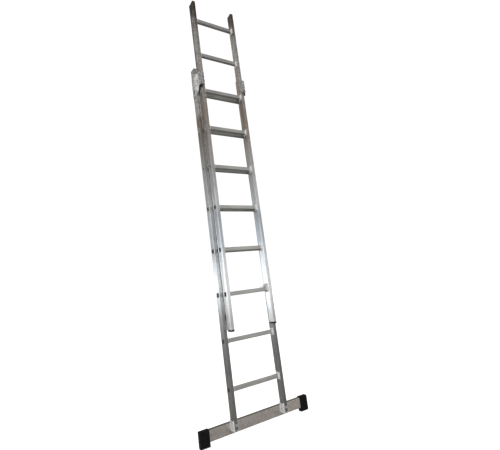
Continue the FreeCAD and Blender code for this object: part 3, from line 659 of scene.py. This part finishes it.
def rivet_set(name, axis):
    """Blind rivets: domed flange, recess round the broken mandrel and shank."""
    mesh = bmesh.new()
    for middle, length, radius, outward in islands(name, axis):
        seat = middle + outward * (length / 2.0 - RIVET_HEAD)
        profile = [(RIVET_SHANK, RIVET_HEAD - length), (RIVET_SHANK, 0.0), (radius, 0.0), (radius, RIVET_RIM)]
        for k in range(1, 8):
            angle = math.radians(90.0 * k / 8.0)
            across = RIVET_CROWN + (radius - RIVET_CROWN) * math.cos(angle)
            profile.append((across, RIVET_RIM + (RIVET_HEAD - RIVET_RIM) * math.sin(angle)))
        for across, drop in ((0.0016, 0.0), (0.0014, 0.0002), (0.0013, 0.0009),
                             (0.0010, 0.0009), (0.0009, 0.0004), (0.0004, 0.0003)):
            profile.append((across, RIVET_HEAD - drop))
        turned(mesh, seat, outward, profile, 32)
    return mesh


for name, axis, maker, material, slot_name, body in (
    ("cross_bolts", 0, bolt_set, FASTENER, "fastener", "base_section"),
    ("cross_nuts", 0, nut_set, FASTENER, "fastener", "base_section"),
    ("bar_bolts", 1, bolt_set, FASTENER, "fastener", "base_section"),
    ("bar_nuts", 1, nut_set, FASTENER, "fastener", "base_section"),
    ("guide_rivets", 0, rivet_set, RIVET, "rivet", "base_section"),
    ("glide_rivets", 1, rivet_set, RIVET, "rivet", "fly_section"),
    ("hook_rivets", 0, rivet_set, RIVET, "rivet", "fly_section"),
):
    new_piece(name + "_detail", maker(name, axis), material, body, slot_name, name)


# ---------------------------------------------------------------- foot caps

def rounded_section(x, y0, y1, z0, z1, radius, per_corner=6):
    """Ring of points in the plane x, a rectangle with rounded corners."""
    ring = []
    for cy, cz, start in ((y1 - radius, z1 - radius, 0), (y0 + radius, z1 - radius, 90),
                          (y0 + radius, z0 + radius, 180), (y1 - radius, z0 + radius, 270)):
        for k in range(per_corner + 1):
            angle = math.radians(start + 90.0 * k / per_corner)
            ring.append(Vector((x, cy + radius * math.cos(angle), cz + radius * math.sin(angle))))
    return ring


LUGS = 5
GROOVE = 0.004
GROOVE_EDGE = 0.0005
TREAD = 0.003
RIB_HEIGHT = 0.0007
RIB_HALF = 0.0012
LIP = 0.0006
POCKET_DEPTH = 0.010
MOUTH_ROUND = 0.0025
MOUTH_DEPTH = 0.0012
END_ROUND = 0.0035
END_DEPTH = 0.0032
BOOT_CORNER = 0.0042
BAR_CORNER = 0.003


def foot_cap(side):
    """Moulded boot: ribbed round the bar, thick lip at its mouth and lugs across the sole."""
    lo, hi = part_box("%s_foot_cap" % side)
    bar_lo, bar_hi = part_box("stabiliser_bar")
    sign = -1.0 if side == "left" else 1.0
    inner = hi[0] if side == "left" else lo[0]
    length = hi[0] - lo[0]
    pitch = length / (LUGS + 1)
    grooves = [length - pitch * (k + 1) for k in range(LUGS)]
    ribs = [length - pitch * (k + 0.5) for k in range(LUGS + 1)]

    # distances from the mouth at which the section changes
    stations = {0.0, 0.0008, MOUTH_ROUND, length}
    stations.update(length - step for step in (END_ROUND, 0.0022, 0.0010, 0.0003))
    for middle in grooves:
        for offset in (-GROOVE / 2.0 - GROOVE_EDGE, -GROOVE / 2.0, GROOVE / 2.0, GROOVE / 2.0 + GROOVE_EDGE):
            stations.add(middle + offset)
    for middle in ribs:
        for offset in (-0.0018, -0.0010, 0.0010, 0.0018):
            stations.add(middle + offset)

    def in_groove(t):
        return any(abs(t - middle) <= GROOVE / 2.0 + 1e-6 for middle in grooves)

    def beside_ribs(t):
        """How far the skin lies back where there is no rib."""
        nearest = min(abs(t - middle) for middle in ribs)
        return 0.0 if nearest < RIB_HALF else RIB_HEIGHT

    def bar_section(t, out, radius):
        return rounded_section(inner + sign * t, bar_lo[1] - out, bar_hi[1] + out,
                               bar_lo[2] - out, bar_hi[2] + out, radius)

    mesh = bmesh.new()
    rings = [bar_section(POCKET_DEPTH, 0.0, BAR_CORNER), bar_section(LIP, 0.0, BAR_CORNER),
             bar_section(0.0, LIP, BAR_CORNER + LIP)]
    for t in sorted(stations):
        end = max(0.0, t - (length - END_ROUND)) / END_ROUND
        start = max(0.0, MOUTH_ROUND - t) / MOUTH_ROUND
        inset = END_DEPTH * (1.0 - math.sqrt(max(0.0, 1.0 - end * end))) + MOUTH_DEPTH * start * start
        if 0.006 < t < length - 0.004:
            inset += beside_ribs(t)
        sole = lo[2] + (TREAD if in_groove(t) else 0.0)
        if end or start:
            sole += inset
        rings.append(rounded_section(inner + sign * t, lo[1] + inset, hi[1] - inset, sole, hi[2] - inset,
                                     BOOT_CORNER))
    loft(mesh, rings, close=(False, True))
    return mesh


for side in ("left", "right"):
    new_piece("%s_foot_boot" % side, foot_cap(side), RUBBER, "base_section", "black_rubber",
              "%s_foot_cap" % side)


# ---------------------------------------------------------------- floor, studio light and camera

floor_mesh = bmesh.new()
bmesh.ops.create_grid(floor_mesh, x_segments=8, y_segments=8, size=60.0)
floor_data = bpy.data.meshes.new("floor")
floor_mesh.to_mesh(floor_data)
floor_mesh.free()
floor_material = bpy.data.materials.new("pale_floor")
floor_tree = Tree(floor_material)
floor_cloud = floor_tree.noise(floor_tree.place(), 1.2, 3.0)
floor_tone = floor_tree.ramp(floor_cloud, ((0.3, tinted(0.93)), (0.7, tinted(0.96))))
floor_tree.surface({"Base Color": floor_tone, "Roughness": 0.9, "Emission Color": tinted(1.0),
                    "Emission Strength": 0.85})
floor_data.materials.append(floor_material)
floor = bpy.data.objects.new("floor", floor_data)
floor.location.z = -0.0005
bpy.context.scene.collection.objects.link(floor)
floor.visible_diffuse = False
floor.visible_glossy = False

world = bpy.data.worlds.new("studio")
bpy.context.scene.world = world
sky = Tree(world)
direction = sky.add("ShaderNodeTexCoord").outputs["Generated"]
height = sky.add("ShaderNodeSeparateXYZ", {0: direction}).outputs["Z"]
elevation = sky.math("MULTIPLY", sky.math("ARCSINE", height), 180.0 / math.pi)
level = sky.remap(elevation, -90.0, 90.0, 0.0, 1.0)
flattened = sky.add("ShaderNodeVectorMath", {0: direction, 1: (1.0, 1.0, 0.0)}, operation="MULTIPLY")
level_direction = sky.add("ShaderNodeVectorMath", {0: flattened.outputs[0]}, operation="NORMALIZE").outputs[0]


def towards(heading, lo, hi):
    """One where the level direction is along the heading, nought where it is away from it."""
    along = sky.add("ShaderNodeVectorMath", {0: level_direction, 1: heading}, operation="DOT_PRODUCT")
    return sky.remap(along.outputs["Value"], lo, hi, 0.0, 1.0)


def wall(stops):
    """Tone by elevation, from stops of degrees, brightness and warmth."""
    return sky.ramp(level, [((degrees + 90.0) / 180.0, tinted(*tone)) for degrees, *tone in stops])


# The walls of the studio, as elevation in degrees, brightness and warmth.
# The left rear one shows in the stiles' outer faces.
REAR_LEFT = (
    # dark floor line and a grey skirting
    (-25, 0.07, 0.04), (-19, 0.45, 0.03), (-14, 0.40, 0.02), (-8, 0.30),
    # bright window at the horizon, bluish towards its top
    (-5, 0.70, -0.05), (-2, 1.90, -0.05), (2, 2.20, -0.05), (5, 1.60, -0.10), (8, 1.00, -0.12),
    (12, 0.75, -0.08),
    # grey wall, a brown band and a pale band
    (16, 0.48, -0.03), (22, 0.47, 0.02), (27, 0.32, 0.15), (31, 0.33, 0.15), (36, 0.62, 0.04),
    (40, 0.62, 0.02), (42, 0.25, 0.08),
)
# the ceiling above both
ABOVE = ((43, 0.075, 0.13), (60, 0.075, 0.07), (90, 0.30))
# An even wall that shows in the front faces.
FRONT_RIGHT = (
    (-90, 0.05), (-30, 0.08, 0.03), (-19, 0.325, 0.045), (-12, 0.35, 0.02), (-6, 0.42), (0, 0.50),
    (6, 0.465, -0.02), (12, 0.425, -0.01), (20, 0.455, 0.015), (28, 0.405, 0.05), (36, 0.51, 0.03),
    (40, 0.35, 0.04),
)
# What the backs of the rungs pass on to the rungs behind them, and what right-hand corners reflect.
REAR_RIGHT = (
    (-90, 0.25, 0.02), (-45, 0.20, 0.02), (-30, 0.08, 0.02), (-20, 0.08, 0.02), (-12, 0.25), (-7, 0.40),
    (-4, 0.15), (-1, 0.03), (5, 0.04), (8, 0.20), (12, 0.40), (15, 0.28), (17, 0.10), (20, 0.12),
    (23, 1.9, 0.01), (38, 1.9, 0.01), (42, 0.10), (60, 0.10), (90, 0.30),
)
# A second window that left-hand corners reflect.
FRONT_LEFT = (
    (-90, 0.10), (-40, 0.25), (-20, 0.42), (-8, 0.55), (-2, 0.95, -0.01), (2, 1.8, -0.02), (6, 3.0, -0.02),
    (10, 3.0, -0.02), (13, 1.8, -0.02), (17, 0.85), (25, 0.75), (40, 0.75), (60, 0.35), (90, 0.30),
)
# Level directions towards three of the walls. The front right one faces the rear left one.
TO_REAR_LEFT = (-0.51, 0.86, 0.0)
TO_REAR_RIGHT = (0.86, 0.51, 0.0)
TO_FRONT_LEFT = (-0.86, -0.51, 0.0)
PAPER_BRIGHTNESS = 1.05

sideways = sky.mix(towards(TO_REAR_LEFT, -0.5, 0.3), wall(FRONT_RIGHT + ABOVE), wall(REAR_LEFT + ABOVE))
rightward = sky.mix(towards(TO_REAR_RIGHT, 0.5, 0.85), sideways, wall(REAR_RIGHT))
studio_colour = sky.mix(towards(TO_FRONT_LEFT, 0.5, 0.85), rightward, wall(FRONT_LEFT))
studio = sky.add("ShaderNodeBackground", {"Color": studio_colour, "Strength": 1.0})

# the background itself is plain white paper
paper = sky.add("ShaderNodeBackground", {"Color": tinted(1.0), "Strength": PAPER_BRIGHTNESS})
seen = sky.add("ShaderNodeLightPath").outputs["Is Camera Ray"]
both = sky.add("ShaderNodeMixShader", {0: seen, 1: studio.outputs[0], 2: paper.outputs[0]})
sky.add("ShaderNodeOutputWorld", {"Surface": both.outputs[0]})


def soft_light(name, location, target, size, power):
    """White disk light that faces the target; its power is in watts."""
    light = bpy.data.lights.new(name, "AREA")
    light.shape = "DISK"
    light.size = size
    light.energy = power
    holder = bpy.data.objects.new(name, light)
    holder.location = location
    aim = Vector(target) - Vector(location)
    holder.rotation_euler = aim.to_track_quat("-Z", "Y").to_euler()
    bpy.context.scene.collection.objects.link(holder)


soft_light("key_light", (-3.4, -1.6, 1.6), (0.0, 0.0, 1.1), 3.2, 12.0)
soft_light("fill_light", (2.6, -3.6, 1.8), (0.0, 0.0, 1.2), 2.8, 12.0)

CAMERA_PLACE = (-1.16415, -1.99515, 0.83687)
# turns about X, Y and Z in degrees; at nought the camera looks straight down
CAMERA_TURNS = (100.668, 7.637, -31.061)
CAMERA_LENS = 24.986
SENSOR_WIDTH = 36.0

camera_data = bpy.data.cameras.new("camera")
camera_data.lens = CAMERA_LENS
camera_data.sensor_width = SENSOR_WIDTH
camera_data.clip_end = 200.0
camera = bpy.data.objects.new("camera", camera_data)
camera.location = CAMERA_PLACE
camera.rotation_euler = [math.radians(degrees) for degrees in CAMERA_TURNS]
bpy.context.scene.collection.objects.link(camera)
bpy.context.scene.camera = camera
bpy.context.scene.view_settings.view_transform = "Standard"
